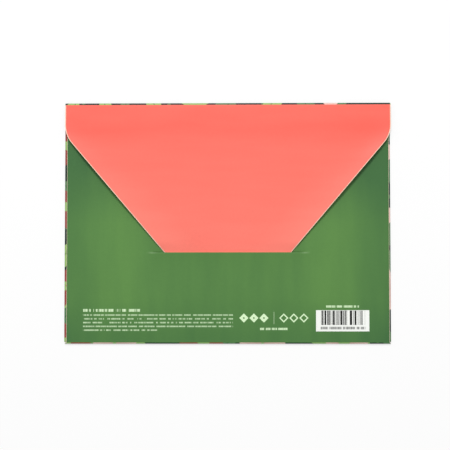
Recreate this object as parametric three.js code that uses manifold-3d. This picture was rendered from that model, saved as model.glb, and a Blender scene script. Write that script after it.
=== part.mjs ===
// A printed gift envelope, folded from one die-cut card and lying on its front face.
// Its back is up: the back panel is folded up from the bottom edge and glued over two side tabs,
// and the closing flap is folded down from the top edge and tucked into a slit in the back panel.
// Millimetres, +X across the back, +Y towards the top fold, +Z up, the origin under its centre.
import * as THREE from 'three';
import { mergeVertices } from 'three/addons/utils/BufferGeometryUtils.js';
import Module from 'manifold-3d';

// Closed envelope
const envelopeWidth = 150;
const envelopeHeight = 111;
const cardThickness = 0.3;
// Room between the layers of card
const pocketGap = 0.7;
const flapGap = 0.3;
const glueBond = 0.06;
// Side tabs, folded in from the front panel and glued under the back panel
const tabDepth = 14;
const tabBevel = 7;
const tabCornerNotch = 0.3;
// Back panel
const panelSideInset = 0.84;
const panelTopDrop = 4;
// Closing flap, measured down from the top fold
const shoulderDrop = 14.8;
const shoulderRadius = 13;
const flapWidthAtSlit = 58.3;
const flapSideShift = 0.2;
const tuckLength = 12;
const tuckCornerRadius = 7;
const tuckSteepness = THREE.MathUtils.degToRad(60);
// Slit in the back panel that holds the flap
const slitDrop = 69.1;
const slitLength = 72;
const slitSideShift = 0.6;
const slitClearance = 0.3;
// Segments of an arc of half a turn, and how far strips run into each other where they join
const arcSegments = 12;
const seam = 1;

const wasm = await Module();
wasm.setup();

// Heights of the middle of each layer, from the front panel up
const frontZ = cardThickness / 2;
const tabZ = frontZ + cardThickness + pocketGap;
const panelZ = tabZ + cardThickness - glueBond;
const flapZ = panelZ + cardThickness + flapGap;
const tuckZ = (frontZ + panelZ) / 2;
// A fold is a half turn of the card's middle line between two layers
const bottomFoldRadius = (panelZ - frontZ) / 2;
const topFoldRadius = (flapZ - frontZ) / 2;
const sideFoldRadius = (tabZ - frontZ) / 2;
// Where the flat front panel ends and each fold starts
const frontBottom = -envelopeHeight / 2 + bottomFoldRadius + cardThickness / 2;
const frontTop = envelopeHeight / 2 - topFoldRadius - cardThickness / 2;
const frontSide = envelopeWidth / 2 - sideFoldRadius - cardThickness / 2;
const panelHalfWidth = envelopeWidth / 2 - panelSideInset;
const panelTop = envelopeHeight / 2 - panelTopDrop;
const slitY = envelopeHeight / 2 - slitDrop;

// The card's middle line as points along a drawn path of lines and arcs, with none of them repeated
function middleLine(draw) {
  const path = new THREE.Path();
  draw(path);
  const points = path.getPoints(arcSegments / 2);
  return points.filter((point, i) => i === 0 || point.distanceTo(points[i - 1]) > cardThickness / 100);
}

// The unit normals of a line's segments, each on the left of its direction
function segmentNormals(points) {
  return points.slice(1).map((point, i) => {
    const along = point.clone().sub(points[i]).normalize();
    return new THREE.Vector2(-along.y, along.x);
  });
}

// The outline of a strip of card: its middle line moved out by half the card's thickness on each side,
// with mitred corners
function cardOutline(points) {
  const normals = segmentNormals(points);
  const offsets = points.map((_, i) => {
    const before = normals[Math.max(i - 1, 0)];
    const after = normals[Math.min(i, normals.length - 1)];
    const reach = cardThickness / 2 / (1 + before.dot(after));
    return before.clone().add(after).multiplyScalar(reach);
  });
  const left = points.map((point, i) => point.clone().add(offsets[i]));
  const right = points.map((point, i) => point.clone().sub(offsets[i]));
  return new THREE.Shape([...left, ...right.reverse()]);
}

// A three.js geometry as a manifold-3d solid, with the vertices at one place merged
function toSolid(geometry) {
  geometry.deleteAttribute('normal');
  geometry.deleteAttribute('uv');
  const merged = mergeVertices(geometry, 1e-5);
  const vertProperties = merged.attributes.position.array;
  const triVerts = new Uint32Array(merged.index.array);
  return new wasm.Manifold(new wasm.Mesh({ numProp: 3, vertProperties, triVerts }));
}

// A manifold-3d solid as a flat-shaded three.js geometry
function toGeometry(solid) {
  const mesh = solid.getMesh();
  const indexed = new THREE.BufferGeometry();
  indexed.setAttribute('position', new THREE.BufferAttribute(mesh.vertProperties, 3));
  indexed.setIndex(new THREE.BufferAttribute(mesh.triVerts, 1));
  const geometry = indexed.toNonIndexed();
  geometry.computeVertexNormals();
  return geometry;
}

// A strip whose section, across Y and up Z, runs the given length along X, half of it on each side
function stripAlongX(points, length) {
  const geometry = new THREE.ExtrudeGeometry(cardOutline(points), { depth: length, bevelEnabled: false });
  geometry.translate(0, 0, -length / 2);
  // The section's x goes to Y, its y to Z, and its depth to X
  geometry.applyMatrix4(new THREE.Matrix4().makeBasis(
    new THREE.Vector3(0, 1, 0), new THREE.Vector3(0, 0, 1), new THREE.Vector3(1, 0, 0)));
  return toSolid(geometry);
}

// A strip whose section, across X and up Z, runs along Y between the two given places
function stripAlongY(points, from, to) {
  const geometry = new THREE.ExtrudeGeometry(cardOutline(points), { depth: to - from, bevelEnabled: false });
  geometry.rotateX(Math.PI / 2);
  geometry.translate(0, to, 0);
  return toSolid(geometry);
}

// An upright prism over a plan outline, past the top and bottom of the folded card
function cutter(shape) {
  const height = 4 * flapZ;
  const geometry = new THREE.ExtrudeGeometry(shape, {
    depth: height, bevelEnabled: false, curveSegments: arcSegments });
  geometry.translate(0, 0, -height / 2);
  return toSolid(geometry);
}

// A closed plan outline through the given corners, each rounded by its own radius
function roundedShape(corners) {
  const shape = new THREE.Shape();
  corners.forEach(({ x, y, radius = 0 }, i) => {
    const corner = new THREE.Vector2(x, y);
    const last = corners[(i + corners.length - 1) % corners.length];
    const next = corners[(i + 1) % corners.length];
    const back = new THREE.Vector2(last.x, last.y).sub(corner).normalize();
    const ahead = new THREE.Vector2(next.x, next.y).sub(corner).normalize();
    const halfAngle = Math.acos(THREE.MathUtils.clamp(back.dot(ahead), -1, 1)) / 2;
    const run = radius / Math.tan(halfAngle);
    const start = corner.clone().addScaledVector(back, run);
    const end = corner.clone().addScaledVector(ahead, run);
    const centre = corner.clone().addScaledVector(
      back.clone().add(ahead).normalize(), radius / Math.sin(halfAngle));
    if (i === 0) shape.moveTo(start.x, start.y);
    else shape.lineTo(start.x, start.y);
    if (radius === 0) return;
    const from = start.clone().sub(centre).angle();
    const to = end.clone().sub(centre).angle();
    shape.absarc(centre.x, centre.y, radius, from, to, back.cross(ahead) > 0);
  });
  shape.closePath();
  return shape;
}

// Front panel, the rounded bottom fold and the back panel over it, as one strip
function frontAndBack() {
  const points = middleLine((path) => {
    path.moveTo(frontTop, frontZ);
    path.lineTo(frontBottom, frontZ);
    path.absarc(frontBottom, frontZ + bottomFoldRadius, bottomFoldRadius, -Math.PI / 2, Math.PI / 2, true);
    path.lineTo(panelTop, panelZ);
  });
  return stripAlongX(points, 2 * panelHalfWidth);
}

// One side tab with its fold, cut back to a bevel at both ends
function sideTab(side) {
  const points = middleLine((path) => {
    path.moveTo(frontSide - seam, frontZ);
    path.lineTo(frontSide, frontZ);
    path.absarc(frontSide, frontZ + sideFoldRadius, sideFoldRadius, -Math.PI / 2, Math.PI / 2, false);
    path.lineTo(envelopeWidth / 2 - tabDepth, tabZ);
  }).map((point) => new THREE.Vector2(side * point.x, point.y));
  const strip = stripAlongY(points, frontBottom, frontTop);
  const edge = envelopeWidth / 2 + seam;
  const tip = envelopeWidth / 2 - tabDepth - seam;
  const low = frontBottom + tabCornerNotch;
  const high = frontTop - tabCornerNotch;
  return strip.intersect(cutter(roundedShape([
    { x: side * tip, y: low + tabBevel },
    { x: side * edge, y: low },
    { x: side * edge, y: high },
    { x: side * tip, y: high - tabBevel },
  ])));
}

// Plan outline of the flap: square at the fold, slanting in from rounded shoulders to the tucked end
function flapShape() {
  const top = envelopeHeight / 2;
  const shoulderY = top - shoulderDrop;
  const half = envelopeWidth / 2;
  const slope = (half - flapWidthAtSlit / 2) / (slitDrop - shoulderDrop);
  const tipHalf = flapWidthAtSlit / 2 - slope * tuckLength;
  const tipY = slitY - tuckLength;
  return roundedShape([
    { x: half, y: top + seam },
    { x: -half, y: top + seam },
    { x: -half, y: shoulderY, radius: shoulderRadius },
    { x: flapSideShift - tipHalf, y: tipY, radius: tuckCornerRadius },
    { x: flapSideShift + tipHalf, y: tipY, radius: tuckCornerRadius },
    { x: half, y: shoulderY, radius: shoulderRadius },
  ]);
}

// The flap: the top fold, the part that lies on the back panel, and the end that dips through the slit
function closingFlap() {
  const dip = (flapZ - tuckZ) / Math.tan(tuckSteepness);
  const points = middleLine((path) => {
    path.moveTo(frontTop - seam, frontZ);
    path.lineTo(frontTop, frontZ);
    path.absarc(frontTop, frontZ + topFoldRadius, topFoldRadius, -Math.PI / 2, Math.PI / 2, false);
    path.lineTo(slitY + dip / 2, flapZ);
    path.lineTo(slitY - dip / 2, tuckZ);
    path.lineTo(slitY - tuckLength - seam, tuckZ);
  });
  return stripAlongX(points, envelopeWidth).intersect(cutter(flapShape()));
}

// The slit's opening, wide enough for the slanting card to pass with a clearance on each side
function slitWaste() {
  const opening = (cardThickness + 2 * slitClearance) / Math.sin(tuckSteepness)
    + cardThickness / Math.tan(tuckSteepness);
  const geometry = new THREE.BoxGeometry(slitLength, opening, cardThickness + flapGap);
  geometry.translate(slitSideShift, slitY, panelZ);
  return toSolid(geometry);
}

// The whole folded card as one solid
function foldedCard() {
  const slitCard = frontAndBack().subtract(slitWaste());
  return slitCard.add(sideTab(-1)).add(sideTab(1)).add(closingFlap());
}

const printedCard = new THREE.MeshStandardMaterial({ color: 0x57864b, roughness: 0.55, metalness: 0 });
const envelope = new THREE.Mesh(toGeometry(foldedCard()), printedCard);
envelope.name = 'folded_card';

const group = new THREE.Group();
group.add(envelope);

export default group;
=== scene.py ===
"""A printed gift envelope folded from one card, and the pale studio that it lies in.

Metres throughout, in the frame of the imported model: +X across the envelope's back, +Y towards its top
fold, +Z up. It lies on its front panel, with the back panel and the tucked closing flap upwards.
"""
import math

import bpy
import numpy as np
from mathutils import Matrix, Vector


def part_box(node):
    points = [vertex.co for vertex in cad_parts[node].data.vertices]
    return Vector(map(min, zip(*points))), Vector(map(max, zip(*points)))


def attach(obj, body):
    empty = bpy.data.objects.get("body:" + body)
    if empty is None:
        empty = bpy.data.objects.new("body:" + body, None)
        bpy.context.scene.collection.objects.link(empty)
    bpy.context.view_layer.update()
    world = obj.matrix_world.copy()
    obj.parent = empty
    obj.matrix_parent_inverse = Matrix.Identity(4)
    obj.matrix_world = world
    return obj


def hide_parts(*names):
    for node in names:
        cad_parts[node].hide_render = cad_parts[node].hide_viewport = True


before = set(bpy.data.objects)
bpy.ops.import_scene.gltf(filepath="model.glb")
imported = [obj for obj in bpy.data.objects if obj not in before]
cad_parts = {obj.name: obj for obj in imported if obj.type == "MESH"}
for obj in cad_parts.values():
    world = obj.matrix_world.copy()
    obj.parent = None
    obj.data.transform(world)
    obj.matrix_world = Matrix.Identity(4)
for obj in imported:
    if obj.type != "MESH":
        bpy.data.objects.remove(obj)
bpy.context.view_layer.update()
card_low, card_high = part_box("folded_card")

bl_info = {
    "name": "Folded Card Envelope",
    "version": (1, 0, 0),
    "blender": (4, 5, 0),
    "location": "3D View > Sidebar > Envelope",
    "description": "Builds a gift envelope folded from one printed card, and its studio",
    "category": "Add Mesh",
}

MM = 0.001
# Finishes of the shell, in the order of its material slots
GREEN_BACK, CORAL_FLAP, FLAP_RIM, FRONT_PRINT, WHITE_INSIDE, CUT_EDGE = range(6)
FULL_STEP, QUICK_STEP = 1.2 * MM, 2.4 * MM
# Specular level of print and bare card
DULL_SHEEN = 0.2
# How far from the slit the rows lie half a step apart
SLIT_ROWS = 12 * MM
# Turns of the rows on the top and bottom folds, whose first and last rows belong to the flat panels
FOLD_TURN = np.linspace(0, np.pi, 13)[1:-1]


def number(name, description, default, **kind):
    """A property that holds one number, with its kind or its limits."""
    return bpy.props.FloatProperty(name=name, description=description, default=default, **kind)


def length(name, description, millimetres):
    """A length property whose default is given in millimetres."""
    return number(name, description, millimetres * MM, unit="LENGTH", precision=5)


def colour(name, description, red, green, blue):
    """A colour property whose default is given as sRGB values from 0 to 255."""
    srgb = np.array([red, green, blue]) / 255
    linear = np.where(srgb <= 0.04045, srgb / 12.92, ((srgb + 0.055) / 1.055) ** 2.4)
    return bpy.props.FloatVectorProperty(
        name=name, description=description, default=tuple(float(v) for v in linear),
        subtype="COLOR", size=3, min=0, max=1)


class CardSizes(bpy.types.PropertyGroup):
    """Sizes of the die-cut card and of its folds."""

    width: length("Width", "Closed width between the side folds", (card_high[0] - card_low[0]) / MM)
    height: length("Height", "Closed height between the end folds", (card_high[1] - card_low[1]) / MM)
    thickness: length("Card thickness", "Thickness of the card", 0.3)
    edge_round: length("Edge round", "How far the knife's rounding reaches in from a panel's edge", 0.12)
    edge_drop: length("Edge drop", "How far the printed face drops at a cut edge", 0.06)
    tab_depth: length("Tab depth", "How far the side tabs reach in", 14)
    tab_bevel: length("Tab bevel", "How much shorter a tab's free edge is, at each end", 7)
    tab_notch: length("Tab notch", "Gap between a tab's end and the top or bottom fold", 0.3)
    fold_fill: length("Fold fill", "How far the bottom fold's squashed ends stand out", 0.4)
    panel_inset: length("Panel inset", "Strip of side fold left beside the back panel", 0.84)
    panel_shift: length("Panel shift", "How far the back panel sits to the right", 0.18)
    panel_top_drop: length("Panel top drop", "From the top fold to the back panel's free edge", 4)
    bottom_fold: length("Bottom fold", "Height of the back panel's middle line at the bottom fold", 0.99)
    side_fold: length("Side fold", "Height of the back panel's middle line over the side tabs", 1.11)
    top_fold: length("Top fold", "Height of the flap's middle line at the top fold", 1.56)
    belly: length("Belly", "How far the back panel bows up in its middle", 0.52)
    waviness: length("Waviness", "Height of the card's slight waves", 0.05)


class FlapSizes(bpy.types.PropertyGroup):
    """Sizes of the closing flap and of the slit that holds it."""

    shoulder_drop: length("Shoulder drop", "From the top fold to the shoulder's sharp corner", 14.8)
    shoulder_radius: length("Shoulder radius", "Radius of the rounded shoulders", 13)
    width_at_slit: length("Width at the slit", "Width of the flap where it goes into the slit", 58.3)
    side_shift: length("Side shift", "How far the flap sits to the right", 0.22)
    overhang: length("Overhang", "How far the flap's straight sides stand out past the side folds", 0.2)
    edge_round: length("Edge round", "How far the knife's rounding reaches in from the flap's edge", 0.4)
    tuck_length: length("Tuck length", "How far the flap reaches under the back panel", 12)
    tuck_radius: length("Tuck radius", "Radius of the tucked end's corners", 7)
    slit_drop: length("Slit drop", "From the top fold to the slit", 69.1)
    slit_length: length("Slit length", "Length of the slit", 71.8)
    slit_shift: length("Slit shift", "How far the slit sits to the right", 0.6)
    slit_round: length("Slit round", "How far the knife's rounding reaches in from the slit", 0.14)
    layer_gap: length("Layer gap", "Air between the flap and the back panel", 0.1)
    edge_lift: length("Edge lift", "How far the flap's slanting edges spring up", 2.1)
    lip_lift: length("Lip lift", "How far each lip of the slit is pushed aside", 0.56)
    lip_reach: length("Lip reach", "Distance over which a lip settles back", 5)
    dip_reach: length("Dip reach", "Distance over which the flap sinks to the slit's level", 5)


class PrintColours(bpy.types.PropertyGroup):
    """Colours of the printed and bare card."""

    # Between each deepest and lightest tone, the back panel and the flap carry painted light and shade
    green: colour("Green", "Deepest print of the back panel", 64, 108, 61)
    green_light: colour("Light green", "Lightest print of the back panel", 93, 139, 71)
    coral: colour("Coral", "Deepest print of the flap", 255, 98, 84)
    coral_light: colour("Light coral", "Lightest print of the flap", 255, 133, 118)
    ground: colour("Front ground", "Dark ground of the front panel", 24, 46, 34)
    lime: colour("Lime", "Light green of the front panel's leaves", 150, 184, 108)
    leaf: colour("Leaf green", "Mid green of the front panel's leaves", 86, 124, 82)
    blossom: colour("Blossom", "Pinkish white of the front panel's blossoms", 232, 196, 184)
    berry: colour("Berry", "Brown red of the front panel's blossoms", 150, 72, 62)
    bare_card: colour("Bare card", "Uncoated inside of the card", 240, 235, 226)
    rim: colour("Rim", "Print worn pale along the flap's cut edges", 255, 214, 190)
    cut_edge: colour("Cut edge", "Core of the card at its cut edges", 246, 224, 206)
    mark_pale: colour("Pale mark", "Pale green of the small marks on the back panel", 228, 255, 210)
    plate_white: colour("Plate white", "White of the plate on the back panel", 250, 252, 247)
    bar_black: colour("Bar black", "Black of the bars on the back panel's plate", 30, 32, 30)


class StudioSettings(bpy.types.PropertyGroup):
    """Camera, lamp and surroundings."""

    camera_distance: length("Camera distance", "From the envelope to the camera", 650)
    camera_offset_x: length("Camera offset X", "Sideways offset of the camera", -1.065)
    camera_offset_y: length("Camera offset Y", "Upward offset of the camera in the picture", -0.919)
    tilt_x: number("Tilt X", "Lean of the view towards the bottom fold", -0.053578, subtype="ANGLE")
    tilt_y: number("Tilt Y", "Lean of the view towards the right side", -0.01703, subtype="ANGLE")
    roll: number("Roll", "Turn of the envelope in the picture", 0.001151, subtype="ANGLE")
    focal_length: number("Focal length", "Focal length for a sensor 36 mm wide", 112.74, min=1)
    lamp_power: number("Lamp power", "Power of the softbox", 12.8, min=0, unit="POWER")
    sky: number("Sky", "Strength of the white surroundings", 0.48, min=0)


def smooth_step(value):
    """3v^2 - 2v^3 of the value kept between 0 and 1."""
    kept = np.clip(value, 0, 1)
    return kept * kept * (3 - 2 * kept)


def slit_place(sizes, flap):
    """The slit's y."""
    return sizes.height / 2 - flap.slit_drop


def flap_half_width(y, sizes, flap):
    """Half the flap's width at height y above the envelope's middle.

    The outline is a straight side, an arc tangent to it and to the slanting side, the slanting side, and
    an arc tangent to that and to the tucked edge: x = centre + sqrt(radius^2 - (y - centre)^2) on an arc,
    and x = width at the slit / 2 + slope (y - slit) on the slant.
    """
    half = sizes.width / 2 + flap.overhang
    slit_y = slit_place(sizes, flap)
    corner_y = sizes.height / 2 - flap.shoulder_drop
    slope = (half - flap.width_at_slit / 2) / (corner_y - slit_y)
    turn = math.atan(slope)
    tangent = flap.shoulder_radius * math.tan(turn / 2)
    arc_top, arc_bottom = corner_y + tangent, corner_y - tangent * math.cos(turn)
    slant = flap.width_at_slit / 2 + slope * (y - slit_y)
    rise = np.clip(y - arc_top, -flap.shoulder_radius, 0)
    arc = half - flap.shoulder_radius + np.sqrt(flap.shoulder_radius ** 2 - rise ** 2)
    outline = np.where(y >= arc_top, half, np.where(y >= arc_bottom, arc, slant))
    tip_y = slit_y - flap.tuck_length
    centre_y = tip_y + flap.tuck_radius
    centre_x = (flap.width_at_slit / 2 + slope * (centre_y - slit_y)) - flap.tuck_radius / math.cos(turn)
    drop = np.clip(y - centre_y, -flap.tuck_radius, flap.tuck_radius)
    tip_arc = centre_x + np.sqrt(np.maximum(flap.tuck_radius ** 2 - drop ** 2, 0))
    arc_end = centre_y + flap.tuck_radius * math.sin(turn)
    return np.where(y < arc_end, tip_arc, outline)


def card_waves(x, y, sizes):
    """Slight waves of handled card: a product of two slow sines, plus two slow sines that run aslant."""
    return sizes.waviness * (
        0.5 * np.sin(x / (17 * MM) + 0.7) * np.sin(y / (13 * MM) + 1.9)
        + 0.3 * np.sin(x / (9 * MM) - y / (21 * MM) + 0.4)
        + 0.2 * np.sin(x / (31 * MM) + y / (7.5 * MM) + 2.6))


def panel_height(x, y, sizes):
    """Height of the back panel's middle line without its slit.

    The bottom fold's height, plus a smooth step up to the height over the tabs, plus a bow that is
    (1 - (x / half)^2)^0.9 across and a smooth rise and fall from fold to fold, plus the card's waves.
    A share of the bow is left at the top.
    """
    half_height = sizes.height / 2
    rise_start, rise_reach = 1 * MM, 26 * MM
    fall_start, fall_reach = 3 * MM, 34 * MM
    step_start, step_reach = 0.8 * MM, 6 * MM
    left_at_top = 0.12
    across = np.clip(1 - (x / (sizes.width / 2)) ** 2, 0, 1)
    up = smooth_step((y + half_height - rise_start) / rise_reach)
    down = smooth_step((half_height - fall_start - y) / fall_reach)
    step = smooth_step((y + half_height - step_start) / step_reach)
    bow = sizes.belly * across ** 0.9 * up * (left_at_top + (1 - left_at_top) * down)
    waves = card_waves(x, y, sizes) * across * up * down
    return sizes.bottom_fold + (sizes.side_fold - sizes.bottom_fold) * step + bow + waves


def lip_offset(x, y, side, sizes, flap):
    """How far a lip of the slit stands off the panel: side is 1 below the slit and -1 above it.

    lip lift times (1 - |u|^6)^0.5 along the slit, u running from -1 to 1 between its ends, times
    exp(-distance / reach) away from it.
    """
    slit_y = slit_place(sizes, flap)
    along = np.clip(np.abs(x - flap.slit_shift) / (flap.slit_length / 2), 0, 1)
    opening = np.sqrt(np.clip(1 - along ** 6, 0, 1))
    return side * flap.lip_lift * opening * np.exp(-np.abs(y - slit_y) / flap.lip_reach)


def flap_height(x, y, inset, sizes, flap):
    """Height of the flap's middle line.

    The panel's height plus (card + gap) (1 - exp(-distance from the slit / reach)), above the panel before
    the slit and below it beyond, plus a lift of the edges, blended by a smooth step into the level of the
    top fold. The lift is edge lift exp(-inset / reach), inset being the distance from the flap's side. It
    starts with a smooth step at the slit, and is whole only where the edge is free of slit and shoulder.
    """
    lift_reach, lift_start, least_lift = 8 * MM, 5 * MM, 0.3
    free_of_slit, shoulder_drop, free_of_shoulder = 34 * MM, 8 * MM, 20 * MM
    fold_drop, blend_reach = 0.9 * MM, 16 * MM
    slit_y = slit_place(sizes, flap)
    over = y - slit_y
    level = np.sign(over) * (sizes.thickness + flap.layer_gap) * (1 - np.exp(-np.abs(over) / flap.dip_reach))
    free = smooth_step(over / free_of_slit)
    free = free * smooth_step((sizes.height / 2 - shoulder_drop - y) / free_of_shoulder)
    lift = flap.edge_lift * np.exp(-inset / lift_reach) * (least_lift + (1 - least_lift) * free) * (over > 0)
    lying = panel_height(x, y, sizes) + level + lift * smooth_step(over / lift_start)
    from_fold = smooth_step((sizes.height / 2 - fold_drop - y) / blend_reach)
    return sizes.top_fold * (1 - from_fold) + lying * from_fold


def spread(start, *legs):
    """Places from start on. A leg is its end and a step: its places are evenly spaced, about a step apart."""
    places = [[start]]
    for end, step in legs:
        count = max(int(round(abs(end - start) / step)), 1)
        places.append(np.linspace(start, end, count + 1)[1:])
        start = end
    return np.concatenate(places)


class CardGrid:
    """The card's middle surface as one net of points and quads.

    A point has its place, its outward normal, its half thickness and its place on the unfolded sheet.
    """

    def __init__(self):
        self.points, self.quads, self.count = [], [], 0

    def add_points(self, places, normals, halves, sheet):
        """Adds a grid of points and returns their numbers in the same layout."""
        numbers = self.count + np.arange(halves.size).reshape(halves.shape)
        self.points.append((
            places.reshape(-1, 3), normals.reshape(-1, 3), halves.reshape(-1, 1), sheet.reshape(-1, 2)))
        self.count += halves.size
        return numbers

    def add_quads(self, numbers, finishes, turned=False):
        """Adds the quads between neighbouring rows and columns, with a finish for each or for all."""
        a, b = numbers[:-1, :-1], numbers[:-1, 1:]
        c, d = numbers[1:, 1:], numbers[1:, :-1]
        quads = np.stack([b, a, d, c] if turned else [a, b, c, d], axis=-1)
        self.quads.append((quads.reshape(-1, 4), np.broadcast_to(finishes, a.shape).ravel()))

    def shell(self):
        """The closed shell: the net moved out and in by half the thickness, and a wall on each free edge.

        A free edge belongs to one quad only. Its wall runs from the outer to the inner points.
        """
        places, normals, halves, sheet = (np.concatenate(parts) for parts in zip(*self.points))
        quads, finishes = (np.concatenate(parts) for parts in zip(*self.quads))
        starts, ends = quads.ravel(), np.roll(quads, -1, axis=1).ravel()
        keys = np.minimum(starts, ends) * self.count + np.maximum(starts, ends)
        _, first, uses = np.unique(keys, return_index=True, return_counts=True)
        free = first[uses == 1]
        a, b = starts[free], ends[free]
        walls = np.stack([a, a + self.count, b + self.count, b], axis=-1)
        vertices = np.concatenate([places + normals * halves, places - normals * halves])
        faces = np.concatenate([quads, quads[:, ::-1] + self.count, walls])
        inside = np.full(len(quads), WHITE_INSIDE)
        slots = np.concatenate([finishes, inside, np.full(len(walls), CUT_EDGE)])
        used = np.unique(faces)
        renumber = np.zeros(len(vertices), dtype=int)
        renumber[used] = np.arange(len(used))
        return vertices[used], renumber[faces], slots, np.concatenate([sheet, sheet])[used]


class FoldPlaces:
    """Radii of the folds' middle lines, and where the flat front panel ends."""

    def __init__(self, sizes):
        self.half_card = sizes.thickness / 2
        self.top_radius = (sizes.top_fold - self.half_card) / 2
        self.bottom_radius = (sizes.bottom_fold - self.half_card) / 2
        self.side_radius = (sizes.side_fold - 2 * sizes.thickness) / 2
        self.top_y = sizes.height / 2 - self.half_card - self.top_radius
        self.bottom_y = -sizes.height / 2 + self.half_card + self.bottom_radius
        self.side_x = sizes.width / 2 - self.half_card - self.side_radius


class Rows:
    """A block of the long strip's rows.

    Each row has its y, the angle of its outward normal, its half width and its shift to the right, and its
    y on the unfolded sheet; a single value holds for all rows. Rounding is the width of the knife's rounding
    at both ends of a row. Height gives the z of points from their x, their y and their distance from the
    nearer end of their row.
    """

    def __init__(self, y, angle, half, shift, sheet_y, rounding, height):
        self.y, self.height = y, height
        self.angle, self.half, self.shift, self.sheet_y, self.rounding = (
            np.broadcast_to(value, len(y))[:, None] for value in (angle, half, shift, sheet_y, rounding))

    def grid(self, inner_columns):
        """Places, outward normals and sheet places of the rows' points.

        Across a row, x = shift + half width times the column's place, with one narrow column more at each
        end for the knife's rounding. A normal is (0, cos a, sin a).
        """
        columns = inner_columns[None, :] * (self.half - self.rounding)
        across = np.concatenate([-self.half, columns, self.half], axis=1)
        x = across + self.shift
        y = np.broadcast_to(self.y[:, None], x.shape)
        z = np.broadcast_to(self.height(x, y, self.half - np.abs(across)), x.shape)
        normals = np.zeros(x.shape + (3,))
        normals[..., 1] = np.cos(self.angle)
        normals[..., 2] = np.sin(self.angle)
        sheet_y = np.broadcast_to(self.sheet_y, x.shape)
        return np.stack([x, y, z], axis=-1), normals, np.stack([x, sheet_y], axis=-1)


def flap_rows(folds, sizes, flap, step):
    """The closing flap's rows, from its tucked end to the top fold."""
    tip_step, tip_rows, tip_reach = 0.5 * MM, 7, 4.2 * MM
    slit_y = slit_place(sizes, flap)
    tip_y = slit_y - flap.tuck_length
    y = np.concatenate([
        [tip_y, tip_y + flap.edge_round], tip_y + flap.edge_round + tip_step * np.arange(1, tip_rows + 1),
        spread(tip_y + tip_reach, (slit_y, step / 2), (slit_y + SLIT_ROWS, step / 2), (folds.top_y, step))])
    return Rows(
        y, np.pi / 2, flap_half_width(y, sizes, flap), flap.side_shift,
        folds.top_y + np.pi * folds.top_radius + (folds.top_y - y), flap.edge_round,
        lambda x, y, inset: flap_height(x, y, inset, sizes, flap))


def fold_rows(folds, sizes, centre, radius, angle, half, shift, sheet_y):
    """A fold's rows: (y, z) = (centre + radius cos a, card / 2 + radius + radius sin a)."""
    z = folds.half_card + radius + radius * np.sin(angle)
    return Rows(
        centre + radius * np.cos(angle), angle, half, shift, sheet_y, sizes.edge_round,
        lambda x, y, inset: z[:, None])


def top_fold_rows(folds, sizes, flap):
    """The top fold's rows, from the flap's width and shift to the front panel's."""
    share = FOLD_TURN / np.pi
    flap_half = sizes.width / 2 + flap.overhang
    return fold_rows(
        folds, sizes, folds.top_y, folds.top_radius, np.pi / 2 - FOLD_TURN,
        flap_half + (folds.side_x - flap_half) * share, flap.side_shift * (1 - share),
        folds.top_y + folds.top_radius * (np.pi - FOLD_TURN))


def bottom_fold_rows(folds, sizes):
    """The bottom fold's rows, from the front panel's width and shift to the back panel's.

    The fold's squashed ends stand out by fold fill sin(turn).
    """
    share = FOLD_TURN / np.pi
    fill = sizes.fold_fill * np.sin(np.pi * share)
    panel_half = sizes.width / 2 - sizes.panel_inset
    return fold_rows(
        folds, sizes, folds.bottom_y, folds.bottom_radius, -np.pi / 2 - FOLD_TURN,
        folds.side_x + (panel_half - folds.side_x) * share + fill, sizes.panel_shift * share,
        folds.bottom_y - folds.bottom_radius * FOLD_TURN)


def front_rows(folds, sizes, step):
    """The front panel's rows, from the top fold to the bottom fold, with a notch before each tab."""
    spacing = 1.3 * step
    tab_start, tab_end = folds.top_y - sizes.tab_notch, folds.bottom_y + sizes.tab_notch
    y = np.concatenate([[folds.top_y], spread(tab_start, (tab_end, spacing)), [folds.bottom_y]])
    return Rows(y, -np.pi / 2, folds.side_x, 0, y, sizes.edge_round, lambda x, y, inset: folds.half_card)


def panel_rows(folds, sizes, flap, y, side):
    """Rows of the back panel with the given y, on one side of the slit: 1 below it and -1 above it."""
    return Rows(
        y, np.pi / 2, sizes.width / 2 - sizes.panel_inset, sizes.panel_shift,
        folds.bottom_y - np.pi * folds.bottom_radius - (y - folds.bottom_y), sizes.edge_round,
        lambda x, y, inset: panel_height(x, y, sizes) + lip_offset(x, y, side, sizes, flap))


def strip_blocks(folds, sizes, flap, step):
    """The long strip's blocks of rows, from the flap's tucked end to the back panel's free edge."""
    slit_y = slit_place(sizes, flap)
    panel_top = sizes.height / 2 - sizes.panel_top_drop
    low_start = folds.bottom_y + 8 * MM
    low_legs = (low_start, step / 2), (slit_y - SLIT_ROWS, step), (slit_y - flap.slit_round, step / 2)
    high_legs = (slit_y + SLIT_ROWS, step / 2), (panel_top - sizes.edge_round, step)
    low_y = np.concatenate([spread(folds.bottom_y, *low_legs), [slit_y]])
    high_y = np.concatenate([[slit_y], spread(slit_y + flap.slit_round, *high_legs), [panel_top]])
    return {
        "flap": flap_rows(folds, sizes, flap, step),
        "top_fold": top_fold_rows(folds, sizes, flap),
        "front": front_rows(folds, sizes, step),
        "bottom_fold": bottom_fold_rows(folds, sizes),
        "low": panel_rows(folds, sizes, flap, low_y, 1),
        "high": panel_rows(folds, sizes, flap, high_y, -1),
    }


def chain_columns(sizes, flap, step):
    """Places of the long strip's inner columns between -1 and 1, with one at each end of the slit.

    Also the numbers of the columns between the slit's ends, counted with the narrow column at the left.
    """
    half = sizes.width / 2 - sizes.panel_inset
    ends = (flap.slit_shift - sizes.panel_shift + np.array([-0.5, 0.5]) * flap.slit_length) / half
    columns = spread(-1, *((end, step / half) for end in (*ends, 1)))
    slit_start, slit_end = np.flatnonzero(np.isin(columns, ends))
    return columns, slice(slit_start + 2, slit_end + 1)


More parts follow.
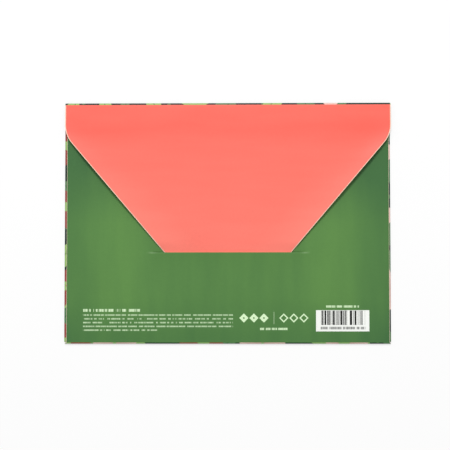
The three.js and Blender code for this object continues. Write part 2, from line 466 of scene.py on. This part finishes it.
def strip_finishes(rows, shape):
    """The finish of each quad of the long strip."""
    on_flap, on_panel = slice(0, rows["flap"].stop - 1), slice(rows["low"].start, None)
    finishes = np.full(shape, FRONT_PRINT)
    finishes[on_flap] = CORAL_FLAP
    finishes[on_panel] = GREEN_BACK
    finishes[on_panel, [0, -1]] = CUT_EDGE
    finishes[on_flap, [0, -1]] = FLAP_RIM
    finishes[0] = FLAP_RIM
    return finishes


def card_chain(net, folds, sizes, flap, step):
    """Adds flap, top fold, front panel, bottom fold and back panel as one strip of rows.

    The card is thinner at its cut edges. The slit's lips are two rows at one y, which share their points
    beside the slit. Returns the numbers of the front panel's points and its rows' y.
    """
    blocks = strip_blocks(folds, sizes, flap, step)
    ends = np.cumsum([len(block.y) for block in blocks.values()])
    rows = {name: slice(end - len(blocks[name].y), end) for name, end in zip(blocks, ends)}
    inner_columns, slit_columns = chain_columns(sizes, flap, step)
    grids = [block.grid(inner_columns) for block in blocks.values()]
    places, normals, sheet = (np.concatenate(parts) for parts in zip(*grids))
    lower_lip, upper_lip = rows["low"].stop - 1, rows["high"].start

    halves = np.full(places.shape[:2], folds.half_card)
    cut_half = folds.half_card - sizes.edge_drop
    for part in (rows["flap"], slice(rows["low"].start, None)):
        halves[part, [0, -1]] = cut_half
    halves[[0, -1]] = cut_half
    halves[[lower_lip, upper_lip], slit_columns] = cut_half

    numbers = net.add_points(places, normals, halves, sheet)
    beside_slit = np.ones(halves.shape[1], dtype=bool)
    beside_slit[slit_columns] = False
    numbers[upper_lip, beside_slit] = numbers[lower_lip, beside_slit]
    finishes = strip_finishes(rows, (halves.shape[0] - 1, halves.shape[1] - 1))
    net.add_quads(numbers[:upper_lip], finishes[:upper_lip - 1])
    net.add_quads(numbers[upper_lip:], finishes[upper_lip:])
    return numbers[rows["front"]], blocks["front"].y


def side_tabs(net, front_numbers, front_y, folds, sizes, step):
    """Adds both side tabs with their folds, from the front panel's side points.

    The fold is a half turn about the front panel's side: x = side + radius sin(turn), and z goes from the
    front panel's to the tab's with (1 - cos(turn)) / 2. Then the tab runs in just under the back panel, and
    its ends draw in with the distance from the fold: y = middle + share (root y - middle).
    """
    under_gap = 0.02 * MM
    root_y = front_y[1:-1]
    middle_y = (root_y[0] + root_y[-1]) / 2
    half_root = (root_y[0] - root_y[-1]) / 2
    turn = np.linspace(0, np.pi, 11)[1:]
    full_reach = folds.side_x - (sizes.width / 2 - sizes.tab_depth)
    reach = np.append(spread(0, (full_reach - sizes.edge_round, step))[1:], full_reach)
    angle = np.append(-np.pi / 2 + turn, np.full(len(reach), np.pi / 2))
    section_x = np.append(folds.side_x + folds.side_radius * np.sin(turn), folds.side_x - reach)
    inward = np.append(np.zeros(len(turn)), reach)
    share = 1 - sizes.tab_bevel / half_root * inward / sizes.tab_depth
    y = middle_y + (root_y - middle_y)[:, None] * share[None, :]
    run = np.append(folds.side_radius * turn, np.pi * folds.side_radius + reach)
    fold_share = np.append((1 - np.cos(turn)) / 2, np.ones(len(reach)))
    halves = np.full(y.shape, folds.half_card)
    halves[:, -1] = folds.half_card - sizes.edge_drop
    for side, column in ((1, -1), (-1, 0)):
        x = np.broadcast_to(side * section_x, y.shape)
        under = panel_height(x, y, sizes) - sizes.thickness - under_gap
        z = folds.half_card + (under - folds.half_card) * fold_share
        normals = np.zeros(y.shape + (3,))
        normals[..., 0] = side * np.cos(angle)
        normals[..., 2] = np.sin(angle)
        sheet_x = np.broadcast_to(side * (folds.side_x + run), y.shape)
        sheet = np.stack([sheet_x, np.broadcast_to(root_y[:, None], y.shape)], axis=-1)
        numbers = net.add_points(np.stack([x, y, z], axis=-1), normals, halves, sheet)
        numbers = np.concatenate([front_numbers[1:-1, column][:, None], numbers], axis=1)
        net.add_quads(numbers, FRONT_PRINT, turned=side < 0)


def add_object(name, data):
    """A new object in the scene, with the given mesh, lamp or camera."""
    item = bpy.data.objects.new(name, data)
    bpy.context.scene.collection.objects.link(item)
    return item


def mesh_piece(name, vertices, faces, slots, sheet, materials):
    """A mesh object at the origin, smooth but for its cut edges, with the unfolded sheet as its UV map."""
    mesh = bpy.data.meshes.new(name)
    mesh.from_pydata(vertices.tolist(), [], faces.tolist())
    for material in materials:
        mesh.materials.append(material)
    mesh.polygons.foreach_set("material_index", slots.astype(np.int32))
    mesh.polygons.foreach_set("use_smooth", np.ones(len(faces), dtype=bool))
    corners = np.zeros(len(mesh.loops), dtype=np.int32)
    mesh.loops.foreach_get("vertex_index", corners)
    layer = mesh.uv_layers.new(name="sheet")
    layer.data.foreach_set("uv", (sheet[corners] / (100 * MM)).ravel().astype(np.float32))
    mesh.set_sharp_from_angle(angle=math.radians(40))
    mesh.validate()
    mesh.update()
    return add_object(name, mesh)


class Nodes:
    """Short calls for a material's nodes."""

    def __init__(self, name):
        self.material = bpy.data.materials.new(name)
        self.material.use_nodes = True
        self.tree = self.material.node_tree
        self.shader = self.tree.nodes["Principled BSDF"]

    def new(self, kind, inputs=None, **settings):
        """A node with its settings and inputs; an input is a value or another node's socket."""
        node = self.tree.nodes.new(kind)
        for key, value in settings.items():
            setattr(node, key, value)
        for key, value in (inputs or {}).items():
            if isinstance(value, bpy.types.NodeSocket):
                self.tree.links.new(value, node.inputs[key])
            else:
                node.inputs[key].default_value = value
        return node

    def math(self, operation, first, second=0.0, third=0.0, clamp=False):
        """The result of one Math node."""
        inputs = {0: first, 1: second, 2: third}
        return self.new("ShaderNodeMath", inputs, operation=operation, use_clamp=clamp).outputs[0]

    def times(self, first, second):
        """The product of two values."""
        return self.math("MULTIPLY", first, second)

    def distance(self, first, second):
        """How far two values lie apart."""
        return self.math("ABSOLUTE", self.math("SUBTRACT", first, second))

    def between(self, value, low, high):
        """1 where the value lies between the two limits, 0 elsewhere."""
        return self.times(self.math("GREATER_THAN", value, low), self.math("LESS_THAN", value, high))

    def ramp(self, value, low, high, from_value=0.0, to_value=1.0):
        """The value mapped from low..high to the two given values, kept between them."""
        return self.new("ShaderNodeMapRange", {
            "Value": value, "From Min": low, "From Max": high, "To Min": from_value, "To Max": to_value,
        }).outputs["Result"]

    def under(self, value, edge, soft):
        """1 where the value is under the edge, 0 where it is over it, with a soft change."""
        return self.ramp(value, edge - soft, edge + soft, 1.0, 0.0)

    def toned(self, noise, low, high):
        """A noise's usual range mapped to the two given values."""
        return self.ramp(noise, 0.3, 0.7, low, high)

    def mix(self, factor, first, second):
        """Two colours mixed; a colour is three values or another node's socket."""
        first, second = (
            value if isinstance(value, bpy.types.NodeSocket) else (*value, 1.0) for value in (first, second))
        return self.new("ShaderNodeMix", {0: factor, 6: first, 7: second}, data_type="RGBA").outputs[2]

    def noise(self, vector, scale, detail=2.0, roughness=0.5):
        """The grey output of a Noise Texture."""
        return self.new("ShaderNodeTexNoise", {
            "Vector": vector, "Scale": scale, "Detail": detail, "Roughness": roughness}).outputs["Fac"]

    def place(self):
        """The object's coordinates in metres."""
        return self.new("ShaderNodeTexCoord").outputs["Object"]

    def sheet(self):
        """The unfolded card's coordinates, in units of 100 mm."""
        return self.new("ShaderNodeUVMap", uv_map="sheet").outputs["UV"]

    def split(self, vector):
        """The x, y and z of a vector."""
        node = self.new("ShaderNodeSeparateXYZ", {"Vector": vector})
        return node.outputs["X"], node.outputs["Y"], node.outputs["Z"]

    def bump(self, height, distance, strength):
        """A bump from a height, linked to the shader's normal."""
        node = self.new("ShaderNodeBump", {"Height": height, "Distance": distance, "Strength": strength})
        self.link(node.outputs["Normal"], "Normal")

    def link(self, socket, name):
        """Links a socket to the shader."""
        self.tree.links.new(socket, self.shader.inputs[name])


def darker(value, factor):
    """A colour times a factor under 1."""
    return tuple(channel * factor for channel in value)


def printed_surface(nodes, ink):
    """Finishes a coated print: the ink with a faint press mottle, a satin sheen and the card's soft grain."""
    place = nodes.place()
    mottle = nodes.noise(place, 900.0, 3.0, 0.6)
    patches = nodes.noise(place, 42.0, 2.0)
    light = nodes.math("ADD", nodes.toned(mottle, -0.02, 0.02), nodes.toned(patches, 0.985, 1.015))
    scaled = nodes.new("ShaderNodeVectorMath", {0: ink}, operation="SCALE")
    nodes.tree.links.new(light, scaled.inputs["Scale"])
    nodes.link(scaled.outputs["Vector"], "Base Color")
    nodes.link(nodes.toned(patches, 0.43, 0.5), "Roughness")
    nodes.shader.inputs["Specular IOR Level"].default_value = DULL_SHEEN
    fine_grain, grain_depth = nodes.noise(place, 2600.0, 3.0), 0.012 * MM
    grain = nodes.math("ADD", fine_grain, nodes.times(nodes.noise(place, 420.0), 1.5))
    nodes.bump(grain, grain_depth, 0.6)
    return nodes.material


def bell(nodes, value, middle, width):
    """exp(-((value - middle) / width)^2)."""
    off = nodes.math("DIVIDE", nodes.math("SUBTRACT", value, middle), width)
    return nodes.math("POWER", math.e, nodes.times(nodes.times(off, off), -1.0))


def stretched(nodes, place, scale):
    """Coordinates scaled by a different factor along each axis."""
    return nodes.new("ShaderNodeMapping", {"Vector": place, "Scale": scale}).outputs["Vector"]


def box_mask(nodes, at, centre, size):
    """1 inside an upright rectangle, 0 outside, with a soft edge. Centre and size are in millimetres."""
    return nodes.times(*(
        nodes.under(nodes.distance(value, middle * MM), extent / 2 * MM, 0.03 * MM)
        for value, middle, extent in zip(at, centre, size)))


def ticks(nodes, x, row):
    """A line of short ticks in groups, as 0 to 1: a fine noise along x in a coarse one, other in each row."""
    row_step, group, stroke = 5.3, 1.3 * MM, 0.26 * MM
    coarse, fine = (nodes.new("ShaderNodeCombineXYZ", {
        "X": nodes.math("DIVIDE", x, size), "Y": nodes.times(row, row_step)}).outputs[0]
        for size in (group, stroke))
    groups = nodes.ramp(nodes.noise(coarse, 1.0, 1.0), 0.41, 0.45)
    strokes = nodes.ramp(nodes.noise(fine, 1.0, 1.0), 0.36, 0.6, 0.45, 1.0)
    return nodes.times(groups, strokes)


def tick_rows(nodes, x, y):
    """Rows of plain ticks at the foot of the back panel, as 0 to 1.

    A row is the nearest whole number of pitches from the top row, and the last row is a short one.
    """
    top, pitch, rows, thick = -42.35 * MM, 1.73 * MM, 5, 0.66 * MM
    left, right, last_right = -66.3 * MM, 2.6 * MM, -32.2 * MM
    strength = 0.72
    count = nodes.math("DIVIDE", nodes.math("SUBTRACT", top, y), pitch)
    row = nodes.math("ROUND", count)
    in_row = nodes.under(nodes.distance(count, row), thick / pitch / 2, 0.05)
    in_block = nodes.between(row, -0.5, rows - 0.5)
    last = nodes.math("GREATER_THAN", row, rows - 1.5)
    in_width = nodes.between(x, left, nodes.ramp(last, 0.0, 1.0, right, last_right))
    return nodes.times(nodes.times(in_row, in_block),
                       nodes.times(in_width, nodes.times(ticks(nodes, x, row), strength)))


def plate_bars(nodes, x):
    """Upright bars of uneven width: 1 where a stepped random value along x is over a half."""
    bar = 0.215 * MM
    step = nodes.math("FLOOR", nodes.math("DIVIDE", x, bar))
    chance = nodes.new("ShaderNodeTexWhiteNoise", {"W": step}, noise_dimensions="1D").outputs["Value"]
    return nodes.math("GREATER_THAN", chance, 0.5)


def diamond_mask(nodes, at, centre, half_size):
    """1 inside a diamond given in millimetres, where |x| + |y| from its centre is under its half size."""
    away = nodes.math("ADD", *(nodes.distance(value, middle * MM) for value, middle in zip(at, centre)))
    return nodes.under(away, half_size * MM, 0.05 * MM)


def painted_green_shading(nodes, place, x, y):
    """Share of light green, as painted light and shade: painted light in two upright bands, painted shade in
    the upper corners, the foot and the right, with random streaks.
    """
    across = nodes.math("ABSOLUTE", x)
    painted_light_band_x, painted_light_band_width = 49 * MM, 13 * MM
    painted_shading_band = nodes.times(bell(nodes, across, painted_light_band_x, painted_light_band_width),
                       nodes.times(nodes.ramp(y, 24 * MM, -4 * MM), nodes.ramp(y, -47 * MM, -36 * MM)))
    share = nodes.math("MULTIPLY_ADD", painted_shading_band, 0.33, 0.66)
    # Where each painted shade starts and where it is whole, in millimetres, and how much it takes away
    for value, start, end, depth in ((y, 0, 34, 0.62), (y, -34, -54, 0.3), (across, 56, 75, 0.2),
                                     (x, 42, 66, 0.15)):
        share = nodes.math("SUBTRACT", share, nodes.ramp(value, start * MM, end * MM, 0.0, depth))
    streaks = nodes.noise(stretched(nodes, place, (150.0, 24.0, 1.0)), 1.0, 2.0)
    return nodes.math("ADD", share, nodes.toned(streaks, -0.09, 0.09), clamp=True)


def slit_end_paling(nodes, x, y):
    """Paler green at the slit's ends: a bell along x about each end, times a bell across the slit."""
    slit_x, slit_y, end_x = 0.6 * MM, -13.8 * MM, 35.1 * MM
    along_reach, across_reach, strength = 1.6 * MM, 0.36 * MM, 0.11
    along = bell(nodes, nodes.distance(x, slit_x), end_x, along_reach)
    return nodes.times(nodes.times(along, bell(nodes, y, slit_y, across_reach)), strength)


def back_marks(nodes, at):
    """Plain pale marks along the foot of the back panel, as 0 to 1: ticks, a divider and diamonds."""
    marks = tick_rows(nodes, *at)
    # Single lines of ticks: centre and size in millimetres, and a number that makes their ticks differ
    for centre, size, row in (((-53.2, -40.2), (26.2, 1.25), 11.0), ((21.4, -48.7), (12.8, 1.0), 13.0),
                              ((52.8, -38.45), (15.0, 1.0), 17.0)):
        line = nodes.times(box_mask(nodes, at, centre, size), ticks(nodes, at[0], row))
        marks = nodes.math("MAXIMUM", marks, line)
    emblem_y = -43.7
    divider = box_mask(nodes, at, (21.4, emblem_y), (0.22, 5.6))
    marks = nodes.math("MAXIMUM", marks, nodes.times(divider, 0.6))
    # Centre of each diamond and half size of the hole in it, in millimetres
    for centre_x, hollow in ((7.6, 0.5), (12.2, 0.5), (16.8, 0.5), (25.9, 1.35), (30.5, 1.35), (35.1, 1.35)):
        outer = diamond_mask(nodes, at, (centre_x, emblem_y), 2.1)
        inner = diamond_mask(nodes, at, (centre_x, emblem_y), hollow)
        marks = nodes.math("MAXIMUM", marks, nodes.math("SUBTRACT", outer, inner))
    return marks


def green_back(colours):
    """Print of the back panel: green with painted light and shade, with pale marks and a white plate of bars
    along its foot.
    """
    nodes = Nodes("green_back_print_and_painted_shading")
    place = nodes.place()
    x, y, _ = nodes.split(place)
    # Painted light and shade in the green's tone
    green = nodes.mix(painted_green_shading(nodes, place, x, y), colours.green, colours.green_light)
    green = nodes.mix(slit_end_paling(nodes, x, y), green, colours.mark_pale)
    marks = back_marks(nodes, (x, y))
    bars_x = 52.87
    plate = box_mask(nodes, (x, y), (52.85, -44.98), (24.4, 9.7))
    bars = nodes.times(plate_bars(nodes, x), box_mask(nodes, (x, y), (bars_x, -43.6), (20.4, 6.6)))
    foot = nodes.times(ticks(nodes, x, 23.0), box_mask(nodes, (x, y), (bars_x, -48.3), (21.0, 1.2)))
    bars = nodes.math("MAXIMUM", bars, nodes.times(foot, 0.8))
    ink = nodes.mix(nodes.times(marks, 0.95), green, colours.mark_pale)
    ink = nodes.mix(plate, ink, colours.plate_white)
    ink = nodes.mix(bars, ink, colours.bar_black)
    return printed_surface(nodes, ink)


def coral_flap(colours):
    """Print of the flap: coral with painted shade, deepest near the fold, and a painted highlight along the
    lower slanting edges.
    """
    nodes = Nodes("coral_flap_print_and_painted_shading")
    place = nodes.place()
    x, y, _ = nodes.split(place)
    # Painted light and shade: darker towards the top fold, a painted shade band just below it and in the
    # upper corners, and a painted highlight along the lower slanting edges; only the streaks are random tone
    share = nodes.ramp(y, 46 * MM, -14 * MM, 0.4, 0.84)
    painted_shading_band = bell(nodes, y, 43 * MM, 5 * MM)
    # Distance from the middle across the slanting edges, whose outward direction is (0.77, -0.64)
    slant = nodes.math("ADD", nodes.times(nodes.math("ABSOLUTE", x), 0.77), nodes.times(y, -0.64))
    # Painted highlight along the lower slanting edges
    edge = nodes.times(nodes.ramp(slant, 16 * MM, 31.5 * MM), nodes.ramp(y, 26 * MM, 4 * MM))
    streaks = nodes.noise(stretched(nodes, place, (26.0, 170.0, 1.0)), 1.0, 2.0)
    # Painted shade in the upper corners
    corner = nodes.times(nodes.ramp(nodes.math("ABSOLUTE", x), 40 * MM, 72 * MM),
                         nodes.ramp(y, 20 * MM, 36 * MM))
    for operation, part, depth in (("SUBTRACT", painted_shading_band, 0.14), ("SUBTRACT", corner, 0.1), ("ADD", edge, 0.25)):
        share = nodes.math(operation, share, nodes.times(part, depth))
    share = nodes.math("ADD", share, nodes.toned(streaks, -0.05, 0.05), clamp=True)
    ink = nodes.mix(share, colours.coral, colours.coral_light)
    return printed_surface(nodes, ink)


def scatter(nodes, sheet, cell, randomness, offset):
    """The x and y from the nearest scattered centre, and a random value for that centre.

    The centres lie about a cell apart, moved by the offset. Each has its own turn.
    """
    mapped = nodes.new("ShaderNodeMapping", {"Vector": sheet, "Location": (*offset, 0.0)}).outputs["Vector"]
    voronoi = nodes.new("ShaderNodeTexVoronoi", {
        "Vector": mapped, "Scale": 1 / cell, "Randomness": randomness}, voronoi_dimensions="2D")
    away = nodes.new("ShaderNodeVectorMath", {0: mapped, 1: voronoi.outputs["Position"]},
                     operation="SUBTRACT").outputs["Vector"]
    chance = nodes.new("ShaderNodeSeparateColor", {"Color": voronoi.outputs["Color"]}).outputs
    turned = nodes.new("ShaderNodeVectorRotate", {
        "Vector": away, "Angle": nodes.times(chance["Blue"], math.tau)}, rotation_type="Z_AXIS")
    x, y, _ = nodes.split(turned.outputs["Vector"])
    return x, y, chance["Red"]


def radius_share(nodes, x, y, petals, size, depth):
    """Distance over size (1 - depth + depth |cos(petals a / 2)|), which is 1 on the outline of the petals."""
    lobes = nodes.math("ABSOLUTE", nodes.math(
        "COSINE", nodes.times(nodes.math("ARCTAN2", y, x), petals / 2)))
    reach = nodes.math("MULTIPLY_ADD", lobes, depth * size, (1 - depth) * size)
    squares = nodes.math("ADD", nodes.times(x, x), nodes.times(y, y))
    return nodes.math("DIVIDE", nodes.math("SQRT", squares), reach)


def leaf_share(nodes, x, y, half_length, half_width):
    """|y| / half width + (x / half length)^2, which is 1 on a leaf's outline, and |y| / half width."""
    along = nodes.math("DIVIDE", x, half_length)
    across = nodes.math("DIVIDE", nodes.math("ABSOLUTE", y), half_width)
    return nodes.math("MULTIPLY_ADD", along, along, across), across


def front_scatter(colours):
    """Print of the front panel: a plain scatter of dots, leaves and simple blossoms on a dark ground.

    All sizes and offsets are in units of 100 mm.
    """
    nodes = Nodes("scattered_front_print")
    sheet = nodes.sheet()
    ink = colours.ground
    outline_soft = 0.02
    x, y, chance = scatter(nodes, sheet, 0.075, 0.7, (1.66, 1.32))
    dot = nodes.under(radius_share(nodes, x, y, 2, 0.011, 0.3), 1, 0.05)
    dot = nodes.times(dot, nodes.math("GREATER_THAN", chance, 0.35))
    ink = nodes.mix(dot, ink, colours.leaf)
    for cell, offset, half_length in ((0.19, (0.05, 0.99), 0.08), (0.22, (1.87, 1.54), 0.092)):
        x, y, chance = scatter(nodes, sheet, cell, 0.55, offset)
        share, across = leaf_share(nodes, x, y, half_length, half_length * 0.42)
        leaf = nodes.mix(nodes.math("GREATER_THAN", chance, 0.55), colours.leaf, colours.lime)
        vein = nodes.ramp(across, 0.05, 0.11, 0.45, 0.0)
        in_leaf = nodes.under(share, 1, outline_soft)
        ink = nodes.mix(in_leaf, ink, nodes.mix(vein, leaf, colours.ground))
    x, y, chance = scatter(nodes, sheet, 0.33, 0.42, (0.19, 2.96))
    share = radius_share(nodes, x, y, 5, 0.112, 0.34)
    blossom = nodes.mix(nodes.math("GREATER_THAN", chance, 0.5), colours.blossom, colours.berry)
    blossom = nodes.mix(nodes.ramp(share, 0.2, 0.9, 0.35, 0.0), blossom, colours.berry)
    blossom = nodes.mix(nodes.under(share, 0.26, outline_soft), blossom, colours.lime)
    ink = nodes.mix(nodes.under(share, 1, outline_soft), ink, blossom)
    return printed_surface(nodes, ink)


def bare_surface(nodes, colour_socket, roughness, fibres, depth):
    """Finishes a surface of bare fibres: its colour, hardly a sheen, and the fibres' relief."""
    nodes.link(colour_socket, "Base Color")
    nodes.shader.inputs["Roughness"].default_value = roughness
    nodes.shader.inputs["Specular IOR Level"].default_value = DULL_SHEEN
    nodes.bump(fibres, depth, 0.8)
    return nodes.material


def bare_card(colours):
    """Uncoated inside of the card: off-white with short fibres."""
    nodes = Nodes("white_card_inside")
    fibres = nodes.noise(stretched(nodes, nodes.place(), (1.0, 3.0, 1.0)), 1500.0, 4.0, 0.65)
    tone = nodes.mix(nodes.toned(fibres, 0.0, 1.0), darker(colours.bare_card, 0.95), colours.bare_card)
    return bare_surface(nodes, tone, 0.88, fibres, 0.02 * MM)


def crushed_edge(name, tone, flecks):
    """Knife-cut edge: crushed fibres, with flecks of another tone."""
    nodes = Nodes(name)
    fibres = nodes.noise(nodes.place(), 2400.0, 4.0, 0.7)
    flecked = nodes.mix(nodes.ramp(fibres, 0.35, 0.55, 1.0, 0.0), tone, flecks)
    return bare_surface(nodes, flecked, 0.9, fibres, 0.03 * MM)


def flap_rim(colours):
    """Rim of the flap, where the knife has worn the coral print pale."""
    return crushed_edge("worn_flap_rim", colours.rim, darker(colours.rim, 0.84))


def cut_edge(colours):
    """Pale core of the card."""
    return crushed_edge("cut_card_edge", colours.cut_edge, darker(colours.cut_edge, 0.86))


# In the order of the material slots
FINISHES = (green_back, coral_flap, flap_rim, front_scatter, bare_card, cut_edge)


class ENVELOPE_OT_folded_card(bpy.types.Operator):
    """Build the folded card with its printed and bare finishes"""

    bl_idname = "envelope.folded_card"
    bl_label = "Folded card"

    def execute(self, context):
        sizes, flap = context.scene.envelope_card, context.scene.envelope_flap
        colours = context.scene.envelope_colours
        step = FULL_STEP
        net, folds = CardGrid(), FoldPlaces(sizes)
        front_numbers, front_y = card_chain(net, folds, sizes, flap, step)
        side_tabs(net, front_numbers, front_y, folds, sizes, step)
        materials = [finish(colours) for finish in FINISHES]
        piece = mesh_piece("folded_card_shell", *net.shell(), materials)
        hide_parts("folded_card")
        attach(piece, "root")
        return {"FINISHED"}


def seen_directly(tree):
    """1 for camera, glossy and transmission rays, 0 for the rays that light other surfaces."""
    rays = tree.nodes.new("ShaderNodeLightPath").outputs
    seen = rays["Is Camera Ray"]
    for name in ("Is Glossy Ray", "Is Transmission Ray"):
        node = tree.nodes.new("ShaderNodeMath")
        node.operation = "MAXIMUM"
        tree.links.new(seen, node.inputs[0])
        tree.links.new(rays[name], node.inputs[1])
        seen = node.outputs[0]
    return seen


def floor_material():
    """Plain floor, white to the camera: part of the white is a glow that doesn't light the envelope."""
    grey, glow = 0.36, 0.638
    nodes = Nodes("white_floor")
    nodes.shader.inputs["Base Color"].default_value = (grey, grey, grey, 1.0)
    nodes.shader.inputs["Roughness"].default_value = 0.9
    nodes.shader.inputs["Specular IOR Level"].default_value = 0.0
    seen = seen_directly(nodes.tree)
    nodes.shader.inputs["Emission Color"].default_value = (1.0, 1.0, 1.0, 1.0)
    nodes.link(nodes.times(seen, glow), "Emission Strength")
    return nodes.material


def make_floor():
    """A wide flat floor just under the envelope."""
    size, drop = 3.0, 0.02 * MM
    corners = np.array([[-1, -1, 0], [1, -1, 0], [1, 1, 0], [-1, 1, 0]]) * size / 2
    corners[:, 2] = -drop
    mesh = bpy.data.meshes.new("floor")
    mesh.from_pydata(corners.tolist(), [], [(0, 1, 2, 3)])
    mesh.materials.append(floor_material())
    add_object("floor", mesh)


def make_light(settings):
    """One round softbox beyond the top fold, in white surroundings."""
    place, width = Vector((-0.08, 0.85, 1.1)), 0.4
    data = bpy.data.lights.new("softbox", "AREA")
    data.shape = "DISK"
    data.size = width
    data.energy = settings.lamp_power
    lamp = add_object("softbox", data)
    lamp.location = place
    lamp.rotation_euler = (-lamp.location).to_track_quat("-Z", "Y").to_euler()
    world = bpy.data.worlds.new("white_room")
    world.use_nodes = True
    tree = world.node_tree
    background = tree.nodes["Background"]
    background.inputs["Color"].default_value = (1.0, 1.0, 1.0, 1.0)
    strength = tree.nodes.new("ShaderNodeMapRange")
    strength.inputs["To Min"].default_value = settings.sky
    tree.links.new(seen_directly(tree), strength.inputs["Value"])
    tree.links.new(strength.outputs["Result"], background.inputs["Strength"])
    bpy.context.scene.world = world


def make_camera(settings):
    """A camera almost straight above, leaning a little towards the bottom fold."""
    turn = Matrix.Rotation(settings.roll, 3, "Z") @ Matrix.Rotation(settings.tilt_y, 3, "Y")
    turn = (turn @ Matrix.Rotation(settings.tilt_x, 3, "X")).transposed()
    data = bpy.data.cameras.new("camera")
    data.sensor_width = 36.0
    data.lens = settings.focal_length
    data.clip_start = 0.01
    camera = add_object("camera", data)
    place = turn @ Vector((settings.camera_offset_x, settings.camera_offset_y, settings.camera_distance))
    camera.matrix_world = Matrix.Translation(place) @ turn.to_4x4()
    bpy.context.scene.camera = camera


class ENVELOPE_OT_stage(bpy.types.Operator):
    """Set up the floor, the lamp and the camera"""

    bl_idname = "envelope.stage"
    bl_label = "Stage"

    def execute(self, context):
        settings = context.scene.envelope_studio
        make_floor()
        make_light(settings)
        make_camera(settings)
        context.scene.view_settings.view_transform = "Standard"
        return {"FINISHED"}


class ENVELOPE_PT_panel(bpy.types.Panel):
    """Sizes, colours and steps of the envelope"""

    bl_idname = "ENVELOPE_PT_panel"
    bl_label = "Gift envelope"
    bl_space_type = "VIEW_3D"
    bl_region_type = "UI"
    bl_category = "Envelope"

    def draw(self, context):
        layout = self.layout
        for group in (context.scene.envelope_card, context.scene.envelope_flap,
                      context.scene.envelope_colours, context.scene.envelope_studio):
            column = layout.column(align=True)
            for name in group.__annotations__:
                column.prop(group, name)
        layout.operator(ENVELOPE_OT_folded_card.bl_idname)
        layout.operator(ENVELOPE_OT_stage.bl_idname)


GROUPS = {
    "envelope_card": CardSizes,
    "envelope_flap": FlapSizes,
    "envelope_colours": PrintColours,
    "envelope_studio": StudioSettings,
}
CLASSES = (*GROUPS.values(), ENVELOPE_OT_folded_card, ENVELOPE_OT_stage, ENVELOPE_PT_panel)


def register():
    """Registers the classes and gives each scene its settings."""
    for item in CLASSES:
        bpy.utils.register_class(item)
    for name, group in GROUPS.items():
        setattr(bpy.types.Scene, name, bpy.props.PointerProperty(type=group))


def unregister():
    """Takes the settings and the classes away again."""
    for name in GROUPS:
        delattr(bpy.types.Scene, name)
    for item in reversed(CLASSES):
        bpy.utils.unregister_class(item)


def main():
    """Builds everything."""
    register()
    bpy.ops.envelope.stage()
    bpy.ops.envelope.folded_card()


if __name__ == "__main__":
    main()
